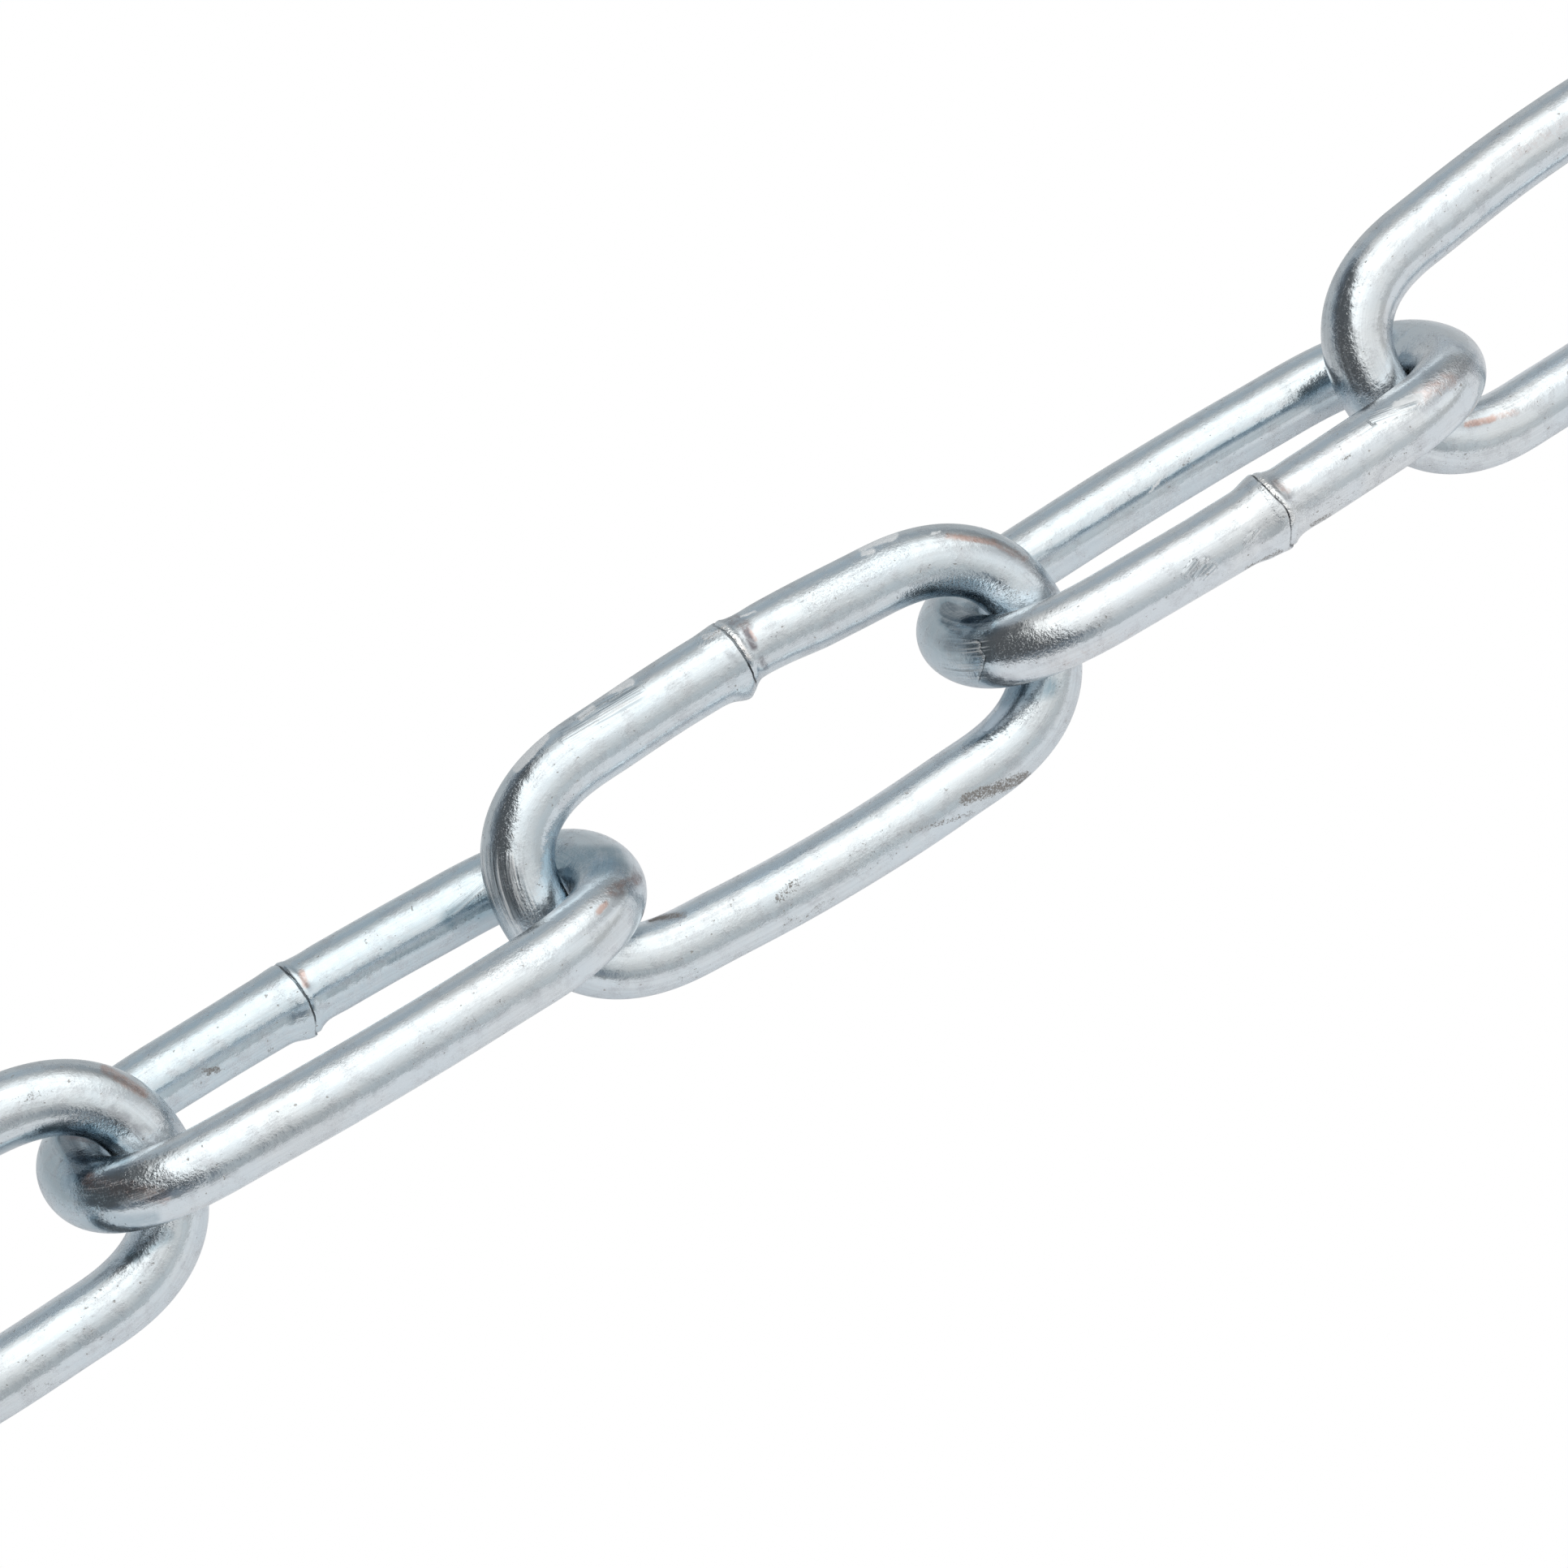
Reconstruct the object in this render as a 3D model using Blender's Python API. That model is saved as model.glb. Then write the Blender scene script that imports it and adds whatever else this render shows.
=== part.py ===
"""A one-metre length of welded long-link steel chain, lying pulled straight on a level floor.

Metres, +Z up, +X along the chain, origin under the middle of the run. Each link is one closed solid.
"""

import math
import random

import bpy
from mathutils import Matrix, Vector

WIRE = 0.0060           # wire diameter
PITCH = 0.0420          # pitch of the pulled chain, the nominal inside length of a link
GAP = 0.0004            # clearance kept between two crowns
HALF_WIDTH = 0.00895    # centre of the link to the wire's centre, at the ends of the straight limbs
BOW = 0.0005            # how far each limb bows outwards at its middle
SHAPE = 2.42            # superellipse exponent of the crown
LIMB_HALF = 0.0124      # half the length of the straight limbs
N_LINKS = 24            # 24 links make the one-metre length

SIDES = 12                                          # sides of the wire's cross-section
FACET = math.sqrt(math.pi / (SIDES / 2 * math.sin(2 * math.pi / SIDES)))
RADIUS = WIRE / 2 * FACET                           # corner radius of a 12-sided wire of true area
CROWN = (PITCH + 2 * RADIUS + GAP) / 2 - LIMB_HALF  # reach of the crown past the limb's end
TIP = LIMB_HALF + CROWN                             # centre of the link to the crown's wire centre

FLARE = 0.09            # swelling of the wire at the butt weld
FLARE_LENGTH = 0.0070   # length over which the wire swells towards the seam
NECK = 0.02             # narrowing just past the seam

TILT = 40.0             # usual lean of a link's plane from the floor, degrees
TILT_SPREAD = 2.5
YAW_SPREAD = 1.2
SIDE_SPREAD = 0.0004
END_TWIST = 15.0        # turns the end links' wire so that a flat of it faces along the chain inside the crown

CROWN_STEPS = 7         # odd, so that the crown's tip is a straight length of wire
PALE_ZINC = (0.74, 0.77, 0.80, 1.0)


def measured_lay(index):
    """Lean, yaw (degrees) and sideways offset of the middle links, whose lie is known."""
    known = {
        9: (44.5, 0.1, 0.0004),
        10: (38.5, -2.2, -0.0001),
        11: (35.0, -1.6, -0.0002),
        12: (39.0, -1.4, -0.0010),
        13: (37.5, -0.3, -0.0008),
        14: (37.0, 3.7, 0.0007),
        15: (40.0, -0.6, 0.0015),
    }
    return known.get(index)


def lay(index, rng):
    """Lean from the floor, yaw, and sideways offset of one link."""
    draw = [rng.uniform(-1, 1) for _ in range(3)]
    if index in (0, N_LINKS - 1):
        return (TILT, 0.0, 0.0)
    return measured_lay(index) or (
        TILT + TILT_SPREAD * draw[0],
        YAW_SPREAD * draw[1],
        SIDE_SPREAD * draw[2],
    )


def weld_side(index):
    """+1 where the welded limb is the raised one, -1 where it lies on the floor."""
    return {11: -1, 12: 1, 13: 1, 14: -1}.get(index, 1 if (index * 5) % 7 < 4 else -1)


def seam_offset(index):
    """Where along the limb the butt weld sits, from the link's middle."""
    return {11: -0.0014, 12: 0.0002, 13: 0.0017}.get(index, 0.0013 * math.sin(2.4 * index))


def swell(s):
    """Wire radius along the welded limb, as a share of the plain radius: s runs along +X from the seam."""
    if s <= 0:
        ramp = max(0.0, 1 + s / FLARE_LENGTH)
        return 1 + FLARE * ramp * ramp * (3 - 2 * ramp)
    return 1 - NECK * math.exp(-((s - 0.0012) / 0.0012) ** 2)


def limb_stations(welded):
    """Stations along a limb, from +X to -X."""
    if welded:
        return [0.0040, 0.0012, 0.0002, -0.0004, -0.0030, -0.0065]
    return [0.0050, -0.0050]


def outline(weld, seam):
    """Points of the wire's centre line round the link, as (x, y, radius share), counter-clockwise."""
    points = []
    reach = math.cos(math.pi / 2 / CROWN_STEPS) ** (2 / SHAPE)
    for end in (1, -1):
        for step in range(CROWN_STEPS + 1):
            q = -math.pi / 2 + math.pi * step / CROWN_STEPS
            across = math.copysign(abs(math.sin(q)) ** (2 / SHAPE), q)
            along = abs(math.cos(q)) ** (2 / SHAPE) / reach if 0 < step < CROWN_STEPS else 0.0
            points.append((end * (LIMB_HALF + CROWN * along), end * HALF_WIDTH * across, 1.0))
        welded = weld == end
        for s in limb_stations(welded):
            x = seam + s if welded else end * s
            share = swell(s) if welded else 1.0
            side = HALF_WIDTH + BOW * (1 - (x / LIMB_HALF) ** 2)
            points.append((x, end * side, share))
        if welded and end < 0:
            tail = len(limb_stations(True))
            points[-tail:] = points[-tail:][::-1]
    return points


def link_frame(index, rng):
    """Rotation and centre of one link: local X along the chain, local +Y the raised limb."""
    lean, yaw, offset = lay(index, rng)
    a = math.radians(lean)
    far_up = index % 2 == 0
    up_limb = Vector((0, math.cos(a) if far_up else -math.cos(a), math.sin(a)))
    along = Vector((1, 0, 0))
    turn = Matrix.Rotation(math.radians(yaw), 3, "Z")
    along, up_limb = turn @ along, turn @ up_limb
    normal = along.cross(up_limb)
    rotation = Matrix((along, up_limb, normal)).transposed()
    x = (index - N_LINKS / 2 + 0.5) * PITCH
    return rotation, Vector((x, offset, 0.02)), lean


def zinc():
    material = bpy.data.materials.new("zinc_plated_steel")
    material.use_nodes = True
    shader = material.node_tree.nodes["Principled BSDF"]
    shader.inputs["Base Color"].default_value = PALE_ZINC
    shader.inputs["Metallic"].default_value = 1.0
    shader.inputs["Roughness"].default_value = 0.32
    return material


def make_link(name, points, centre, rotation, twist, material, collection):
    curve = bpy.data.curves.new(name, "CURVE")
    curve.dimensions = "3D"
    curve.twist_mode = "Z_UP"
    curve.bevel_depth = RADIUS
    curve.bevel_resolution = SIDES // 2 - 2
    curve.use_fill_caps = False
    curve.resolution_u = 1
    spline = curve.splines.new("POLY")
    spline.points.add(len(points) - 1)
    spline.use_cyclic_u = True
    spline.use_smooth = True
    for point, (x, y, share) in zip(spline.points, points):
        point.co = (x, y, 0.0, 1.0)
        point.radius = share
        point.tilt = twist
    curve.materials.append(material)
    link = bpy.data.objects.new(name, curve)
    link.matrix_world = Matrix.Translation(centre) @ rotation.to_4x4()
    collection.objects.link(link)
    return link


def reach_along(link, axis):
    """Least and greatest world coordinate of a link along one axis."""
    bpy.context.view_layer.update()
    shape = link.evaluated_get(bpy.context.evaluated_depsgraph_get())
    mesh = shape.to_mesh()
    values = [(shape.matrix_world @ v.co)[axis] for v in mesh.vertices]
    shape.to_mesh_clear()
    return min(values), max(values)


def crossing(points, holder, centre, normal):
    """Where the wire of the holding link's leading crown passes through the held link's plane."""
    rotation, middle = holder
    crown = [middle + rotation @ Vector((x, y, 0)) for x, y, _ in points[: CROWN_STEPS + 1]]
    for start, end in zip(crown, crown[1:]):
        before, after = normal.dot(start - centre), normal.dot(end - centre)
        if before * after <= 0:
            return start.lerp(end, before / (before - after))
    return middle + rotation @ Vector((TIP, 0, 0))


def move_origin(link, rotation, centre, origin):
    """Puts the link's origin on its joint, and leaves its shape in place."""
    shift = rotation.transposed() @ (centre - origin)
    for point in link.data.splines[0].points:
        point.co = (point.co.x + shift.x, point.co.y + shift.y, point.co.z + shift.z, 1.0)
    link.location = origin


def build():
    for old in list(bpy.data.objects):
        bpy.data.objects.remove(old, do_unlink=True)
    collection = bpy.data.collections.new("long_link_steel_chain")
    bpy.context.scene.collection.children.link(collection)
    material = zinc()
    rng = random.Random(6)
    links, holder, holder_points = [], None, None
    for index in range(N_LINKS):
        rotation, centre, lean = link_frame(index, rng)
        points = outline(weld_side(index), seam_offset(index))
        # a flat of the wire lies on the floor, but not on the end links
        twist = math.radians(END_TWIST if index in (0, N_LINKS - 1) else lean - 45.0)
        name = "link_%02d" % (index + 1)
        link = make_link(name, points, centre, rotation, twist, material, collection)
        centre = centre - Vector((0, 0, reach_along(link, 2)[0]))
        link.location = centre
        normal = rotation @ Vector((0, 0, 1))
        link["centre"], link["normal"] = list(centre), list(normal)
        if holder:
            origin = crossing(holder_points, holder, centre, normal)
            move_origin(link, rotation, centre, origin)
        holder, holder_points = (rotation, centre), points
        links.append(link)
    spans = [reach_along(link, 1) for link in links]
    middle = (min(low for low, _ in spans) + max(high for _, high in spans)) / 2
    for link in links:
        link.location.y -= middle
        link["centre"] = [link["centre"][0], link["centre"][1] - middle, link["centre"][2]]
    bpy.context.view_layer.update()
    return links


LINKS = build()
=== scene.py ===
import math
import random

import bpy
import numpy as np
from mathutils import Matrix, Vector


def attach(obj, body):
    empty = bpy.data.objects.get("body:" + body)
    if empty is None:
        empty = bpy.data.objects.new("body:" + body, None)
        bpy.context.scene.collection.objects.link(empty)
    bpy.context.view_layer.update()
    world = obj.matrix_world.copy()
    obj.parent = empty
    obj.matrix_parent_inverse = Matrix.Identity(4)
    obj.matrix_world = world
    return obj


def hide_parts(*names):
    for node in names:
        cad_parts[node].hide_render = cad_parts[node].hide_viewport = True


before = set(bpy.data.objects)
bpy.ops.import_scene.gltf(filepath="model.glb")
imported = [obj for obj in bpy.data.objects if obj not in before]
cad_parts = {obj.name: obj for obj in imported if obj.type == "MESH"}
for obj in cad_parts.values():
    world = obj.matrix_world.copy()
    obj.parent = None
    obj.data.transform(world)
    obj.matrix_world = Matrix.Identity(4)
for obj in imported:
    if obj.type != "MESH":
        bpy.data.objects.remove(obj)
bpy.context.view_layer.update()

# ---------------------------------------------------------------- dimensions, in metres
N_LINKS = 24
PITCH = 0.0420
WIRE_R = 0.0030
HALF_WIDTH = 0.00895     # link's middle to the wire's centre
BOW = 0.0005
SHAPE = 2.42
LIMB_HALF = 0.0124
TIP = 0.02406            # link's middle to the crown's wire centre, crowns bearing on each other

# ---------------------------------------------------------------- the lay, as in the CAD
TILT, TILT_SPREAD, YAW_SPREAD, SIDE_SPREAD = 40.0, 2.5, 1.2, 0.0004
KNOWN_LAY = {
    9: (44.5, 0.1, 0.0004),
    10: (38.5, -2.2, -0.0001),
    11: (35.0, -1.6, -0.0002),
    12: (39.0, -1.4, -0.0010),
    13: (37.5, -0.3, -0.0008),
    14: (37.0, 3.7, 0.0007),
    15: (40.0, -0.6, 0.0015),
}


def lays():
    rng = random.Random(6)
    found = []
    for index in range(N_LINKS):
        draw = [rng.uniform(-1, 1) for _ in range(3)]
        if index in (0, N_LINKS - 1):
            found.append((TILT, 0.0, 0.0))
        else:
            found.append(KNOWN_LAY.get(index) or (TILT + TILT_SPREAD * draw[0], YAW_SPREAD * draw[1], SIDE_SPREAD * draw[2]))
    return found


def weld_side(index):
    return {11: -1, 12: 1, 13: 1, 14: -1}.get(index, 1 if (index * 5) % 7 < 4 else -1)


def seam_offset(index):
    return {11: -0.0014, 12: 0.0002, 13: 0.0017}.get(index, 0.0013 * math.sin(2.4 * index))


def link_axes(index, lay):
    """Columns: along the chain, towards the raised limb, and the link's normal."""
    lean, yaw, _ = lay
    a, w = math.radians(lean), math.radians(yaw)
    up = np.array([0.0, math.cos(a) * (1 if index % 2 == 0 else -1), math.sin(a)])
    turn = np.array([[math.cos(w), -math.sin(w), 0], [math.sin(w), math.cos(w), 0], [0, 0, 1.0]])
    along, up = turn @ [1.0, 0, 0], turn @ up
    return np.stack([along, up, np.cross(along, up)], 1)


def link_middle(name, axes):
    """The CAD link's middle, from its own vertices, in the link's axes."""
    co = np.array([v.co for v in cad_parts[name].data.vertices], float) @ axes
    low, high = co.min(0), co.max(0)
    mid = (low + high) / 2
    crown = co[np.abs(co[:, 0] - mid[0]) > LIMB_HALF + 0.0005]
    mid[1] = (crown[:, 1].min() + crown[:, 1].max()) / 2
    return axes @ mid


# ---------------------------------------------------------------- camera
CAM_AZ, CAM_EL, CAM_ROLL = math.radians(-24.98), math.radians(58.27), math.radians(-10.30)
CAM_T = np.array([-0.100, -0.601, 67.125]) * 0.006
CAM_F = 3.167
CAM_LOOK = np.array([0.0210, -0.00018, 0.0108])


def camera_axes():
    back = np.array([math.sin(CAM_AZ) * math.cos(CAM_EL), -math.cos(CAM_AZ) * math.cos(CAM_EL), math.sin(CAM_EL)])
    right = np.array([math.cos(CAM_AZ), math.sin(CAM_AZ), 0.0])
    up = np.cross(back, right)
    c, s = math.cos(CAM_ROLL), math.sin(CAM_ROLL)
    return c * right + s * up, -s * right + c * up, back


RIGHT, UP, BACK = camera_axes()
CAM_AT = CAM_LOOK - (CAM_T[0] * RIGHT - CAM_T[1] * UP - CAM_T[2] * BACK)


def to_picture(points):
    """Picture coordinates, 1932 px square, of world points."""
    d = np.asarray(points) - CAM_AT
    x, y, z = d @ RIGHT, -(d @ UP), -(d @ BACK)
    return 966 + CAM_F * 1932 * x / z, 966 + CAM_F * 1932 * y / z


def make_camera():
    data = bpy.data.cameras.new("camera")
    data.sensor_width = 36.0
    data.lens = 36.0 * CAM_F
    data.clip_start, data.clip_end = 0.01, 20.0
    obj = bpy.data.objects.new("camera", data)
    obj.matrix_world = Matrix([[RIGHT[i], UP[i], BACK[i], CAM_AT[i]] for i in range(3)] + [[0, 0, 0, 1]])
    bpy.context.scene.collection.objects.link(obj)
    bpy.context.scene.camera = obj


# ---------------------------------------------------------------- the link's shape
def smooth(t):
    t = np.clip(t, 0, 1)
    return t * t * (3 - 2 * t)


def bell(t):
    return np.exp(-t * t)


def centre_line():
    """Closed centre line of the wire at even steps: points, and length along it from the +X crown's tip."""
    q = np.linspace(0, 2 * np.pi, 1600, endpoint=False)
    across = np.sign(np.sin(q)) * np.abs(np.sin(q)) ** (2 / SHAPE) * HALF_WIDTH
    along = np.abs(np.cos(q)) ** (2 / SHAPE) * (TIP - LIMB_HALF)
    pts = []
    for i in range(len(q)):
        if i in (400, 1200):
            side = 1 if i == 400 else -1
            for x in np.linspace(LIMB_HALF, -LIMB_HALF, 400):
                pts.append((x * side, side * (HALF_WIDTH + BOW * (1 - (x / LIMB_HALF) ** 2))))
        else:
            pts.append((math.copysign(LIMB_HALF + along[i], math.cos(q[i])), across[i]))
    pts = np.array(pts)
    for _ in range(2):
        closed = np.vstack([pts, pts[:1]])
        run = np.r_[0, np.cumsum(np.hypot(*np.diff(closed, axis=0).T))]
        even = np.linspace(0, run[-1], 3001)[:-1]
        pts = np.stack([np.interp(even, run, closed[:, 0]), np.interp(even, run, closed[:, 1])], 1)
        kernel = np.exp(-0.5 * (np.minimum(even, run[-1] - even) / 0.0009) ** 2)
        pts = np.real(np.fft.ifft(np.fft.fft(pts, axis=0) * (np.fft.fft(kernel) / kernel.sum())[:, None], axis=0))
        pts[:, 0] *= TIP / pts[:, 0].max()
    return pts, even, run[-1]


LINE, RUN, LOOP = centre_line()

# Marks on the middle links: kind, the two ends of a stroke as the camera sees it (px of the 1932 px frame), half width, strength.
# A cut's hairlines run from its first end to its second.
# Film marks paint shade and dark reflections into the colour: dark blue-grey inside the crowns, at the ends of limbs
# and as thin dark lines along far limbs.
MARKS = ("dirt", "blush", "pale", "frost", "cut", "stain_and_shade", "painted_shade", "lip", "tint", "seam")
# Stain marks are real stains at the welds and, inside the crowns, painted shade.
SPOTS = {
    10: [
        # Painted shade: the film strokes of this link.
        ("stain_and_shade", 140, 1370, 190, 1404, 9, 0.5), ("painted_shade", 50, 1393, 110, 1390, 4, 0.7), ("painted_shade", 110, 1390, 140, 1405, 6, 0.9), ("painted_shade", 0, 1415, 50, 1393, 5, 0.5),
        ("painted_shade", 165, 1547, 205, 1521, 9, 0.7), ("stain_and_shade", 172, 1536, 194, 1523, 6, 0.35), ("blush", 128, 1316, 178, 1348, 6, 0.7), ("frost", 95, 1375, 150, 1392, 11, 0.8), ("dirt", 18, 1356, 62, 1346, 6, 0.5),
        ("dirt", 95, 1378, 120, 1380, 6, 0.5), ("dirt", 30, 1716, 75, 1700, 5, 0.5), ("frost", 160, 1540, 210, 1500, 9, 0.6),
        ("dirt", 40, 1680, 150, 1625, 9, 0.25),
    ],
    11: [
        # Painted shade: the film strokes of this link, inside its crowns and along its limbs.
        ("painted_shade", 690, 1066, 754, 1062, 17, 0.8), ("painted_shade", 560, 1132, 606, 1112, 15, 0.85), ("painted_shade", 694, 1051, 758, 1051, 9, 0.8), ("painted_shade", 480, 1186, 566, 1140, 3, 0.5),
        ("rub", 112, 1462, 196, 1474, 12, 0.45), ("frost", 105, 1464, 190, 1472, 12, 0.6), ("blush", 110, 1456, 200, 1474, 12, 0.5),
        # Painted shade: film and stain strokes fill the dark inside of the left crown.
        ("painted_shade", 82, 1402, 106, 1448, 17, 1.0), ("stain_and_shade", 86, 1408, 104, 1444, 14, 0.2), ("stain_and_shade", 86, 1397, 122, 1405, 8, 0.9), ("painted_shade", 104, 1444, 140, 1424, 10, 0.85), ("stain_and_shade", 100, 1402, 124, 1412, 8, 0.5),
        ("tint", 62, 1440, 100, 1490, 40, 1.0), ("painted_shade", 70, 1440, 112, 1490, 34, 0.3), ("painted_shade", 112, 1496, 165, 1508, 9, 0.45), ("painted_shade", 690, 1085, 712, 1072, 11, 0.6), ("painted_shade", 752, 1056, 768, 1070, 9, 0.7), ("blush", 372, 1199, 377, 1213, 5, 0.8), ("blush", 737, 1124, 746, 1114, 4, 1.0), ("blush", 752, 1098, 780, 1086, 9, 0.35), ("stain_and_shade", 758, 1098, 786, 1082, 9, 0.7), ("stain_and_shade", 760, 1070, 780, 1075, 8, 0.25),
        ("painted_shade", 100, 1402, 150, 1425, 12, 0.7), ("painted_shade", 135, 1506, 190, 1500, 7, 0.5),
        ("dirt", 254, 1320, 268, 1318, 6, 1.0), ("frost", 608, 1197, 640, 1184, 9, 0.8), ("dirt", 600, 1243, 622, 1232, 8, 0.55),
        ("dirt", 575, 1262, 585, 1256, 4, 0.6), ("frost", 630, 1168, 665, 1182, 14, 0.5), ("dirt", 755, 1092, 790, 1080, 9, 0.35),
        ("dirt", 200, 1495, 235, 1478, 7, 0.3), ("frost", 170, 1462, 245, 1450, 11, 0.7), ("dirt", 330, 1296, 336, 1292, 3, 0.8),
        ("frost", 380, 1330, 440, 1300, 9, 0.4), ("dirt", 60, 1470, 80, 1490, 7, 0.4), ("cut", 560, 1118, 592, 1090, 9, 0.4),
    ],
    12: [
        ("blush", 925, 778, 931, 788, 2.5, 0.6), ("stain_and_shade", 906, 762, 922, 772, 6, 0.5), ("stain_and_shade", 918, 774, 929, 797, 4.5, 1.0), ("stain_and_shade", 938, 812, 943, 822, 3.5, 0.8), ("lip", 893, 772, 921, 808, 7, 1.0),
        # Painted shade: the film strokes of this link.
        ("painted_shade", 1140, 728, 1235, 748, 10, 0.35), ("painted_shade", 1240, 858, 1290, 846, 13, 0.8), ("painted_shade", 598, 1122, 624, 1165, 13, 0.75), 
        ("stain_and_shade", 898, 806, 906, 814, 5, 0.3), ("stain_and_shade", 800, 1133, 842, 1127, 4, 0.7), ("stain_and_shade", 890, 762, 908, 768, 5, 0.5),
        ("rub", 602, 1062, 628, 1125, 17, 1.0), ("rub", 625, 1060, 652, 1118, 9, 1.0), ("stain_and_shade", 1262, 690, 1300, 730, 4, 0.35),
        ("blush", 1168, 660, 1225, 668, 4, 0.8), ("stain_and_shade", 1182, 661, 1225, 670, 2.4, 0.5), ("stain_and_shade", 1225, 670, 1285, 712, 3, 0.4), ("blush", 1225, 668, 1262, 688, 5, 0.5),
        ("blush", 905, 765, 918, 770, 8, 0.3),
        ("pale", 637, 946, 671, 908, 5.5, 1.0), ("pale", 1060, 673, 1101, 659, 6, 0.9), ("pale", 752, 850, 777, 841, 5, 0.9),
        # The thin pale stroke from 913, 760 is a painted glint.
        ("pale", 868, 785, 886, 779, 4, 0.6), ("frost", 864, 786, 892, 780, 9, 1.0), ("pale", 715, 884, 730, 872, 4, 0.7), ("pale", 913, 760, 931, 753, 1.3, 0.9),
        ("pale", 1063, 683, 1076, 679, 3, 0.9), ("pale", 1148, 657, 1160, 655, 1.2, 0.9),
        ("frost", 1000, 742, 1085, 690, 13, 1.0), ("frost", 1085, 690, 1112, 680, 9, 0.7), ("frost", 1165, 712, 1245, 738, 14, 1.0), ("frost", 1130, 716, 1165, 712, 9, 0.8),
        ("frost", 870, 785, 892, 778, 8, 1.0), ("frost", 635, 965, 618, 1050, 11, 0.6), ("frost", 640, 1095, 660, 1135, 8, 0.9),
        ("dirt", 1190, 985, 1264, 957, 9, 1.0), ("dirt", 1132, 1023, 1200, 1001, 4, 0.8), ("dirt", 962, 1106, 980, 1088, 9, 0.75),
        ("dirt", 1040, 1075, 1100, 1045, 12, 0.4), ("dirt", 1078, 1035, 1095, 1018, 7, 0.45), ("dirt", 968, 1140, 1022, 1112, 8, 0.5),
        ("dirt", 802, 1133, 840, 1127, 4, 1.0), ("dirt", 838, 1206, 858, 1196, 5, 0.5), ("dirt", 1302, 840, 1312, 905, 8, 0.4),
        ("dirt", 938, 787, 990, 778, 7, 0.4), ("dirt", 870, 786, 888, 776, 7, 0.6), ("dirt", 758, 905, 790, 900, 7, 0.35),
        ("frost", 888, 1142, 915, 1125, 11, 0.45), ("frost", 1050, 1062, 1100, 1035, 12, 0.6), ("frost", 1255, 885, 1275, 872, 9, 0.7),
        ("cut", 702, 902, 780, 856, 12, 1.0), ("cut", 712, 885, 765, 855, 8, 0.8),
    ],
    13: [
        # Painted shade: film strokes inside the left crown.
        ("lip", 1552, 594, 1588, 640, 8, 1.0), ("painted_shade", 1168, 752, 1212, 768, 16, 1.0), ("painted_shade", 1135, 780, 1190, 820, 34, 0.3), ("painted_shade", 1165, 790, 1195, 795, 14, 0.5),
        ("painted_shade", 1164, 764, 1180, 778, 9, 0.95), ("tint", 1130, 780, 1190, 820, 40, 0.9),
        ("rub", 1176, 790, 1206, 798, 12, 0.9), ("rub", 1172, 822, 1206, 830, 10, 0.5), ("stain_and_shade", 1168, 796, 1204, 800, 6, 0.4),
        ("stain_and_shade", 1764, 466, 1808, 452, 11, 0.3), ("stain_and_shade", 1215, 832, 1250, 838, 6, 0.3), ("cut", 1462, 706, 1472, 694, 5, 1.0),
        ("cut", 1473, 709, 1484, 696, 5, 1.0), ("cut", 1484, 709, 1494, 699, 5, 1.0), ("cut", 1478, 700, 1486, 690, 4, 0.9),
        ("cut", 1536, 667, 1543, 659, 4, 1.0), ("cut", 1543, 664, 1550, 656, 4, 1.0),
        # Painted dark reflection: the thin film line along the far limb; painted shade at its end.
        ("painted_shade", 1275, 687, 1350, 645, 2.4, 0.55), ("painted_shade", 1350, 645, 1430, 596, 2.4, 0.6), ("painted_shade", 1430, 596, 1500, 552, 2.8, 0.65), ("painted_shade", 1500, 552, 1602, 496, 3.2, 0.7),
        ("painted_shade", 1608, 490, 1640, 467, 9, 0.8), ("painted_shade", 1622, 500, 1655, 486, 9, 0.5), ("cut", 1694, 514, 1738, 498, 8, 1.0), ("cut", 1650, 545, 1700, 515, 5, 0.4),
        ("frost", 1240, 802, 1308, 788, 15, 1.0), ("frost", 1175, 825, 1190, 835, 8, 0.5), ("frost", 1590, 640, 1640, 615, 12, 0.7),
        ("frost", 1552, 596, 1588, 645, 4, 1.0), ("pale", 1722, 498, 1748, 490, 6, 0.9),
        ("dirt", 1616, 647, 1640, 634, 3, 0.85), ("dirt", 1640, 625, 1700, 592, 8, 0.45), ("dirt", 1536, 702, 1578, 680, 4, 0.9),
        ("dirt", 1548, 594, 1586, 632, 3, 0.5), ("stain_and_shade", 1572, 592, 1590, 614, 2.5, 0.5), ("dirt", 1655, 565, 1665, 560, 3, 0.8), ("dirt", 1455, 725, 1462, 722, 3, 0.6),
        ("dirt", 1352, 800, 1420, 760, 8, 0.3), ("dirt", 1680, 585, 1750, 545, 10, 0.45),
        ("blush", 1572, 596, 1586, 604, 6, 0.35), ("blush", 1750, 488, 1785, 468, 11, 0.5), ("blush", 1640, 560, 1680, 540, 10, 0.25),
        ("blush", 1300, 820, 1400, 780, 10, 0.2),
        ("frost", 1770, 470, 1815, 450, 12, 0.4), ("pale", 1416, 608, 1429, 592, 1.6, 0.9),
    ],
    14: [
        # Painted shade: the film stroke.
        ("painted_shade", 1655, 478, 1680, 506, 10, 0.6),
        ("blush", 1808, 523, 1840, 516, 4, 1.0), ("blush", 1840, 514, 1868, 508, 5, 0.45), ("stain_and_shade", 1810, 525, 1836, 519, 3, 0.4), ("dirt", 1785, 562, 1830, 556, 8, 0.35), ("frost", 1672, 450, 1692, 482, 10, 0.8),
        ("frost", 1650, 400, 1660, 440, 9, 0.5), ("blush", 1870, 190, 1932, 150, 10, 0.25), ("dirt", 1800, 300, 1880, 230, 8, 0.2),
    ],
}
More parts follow.
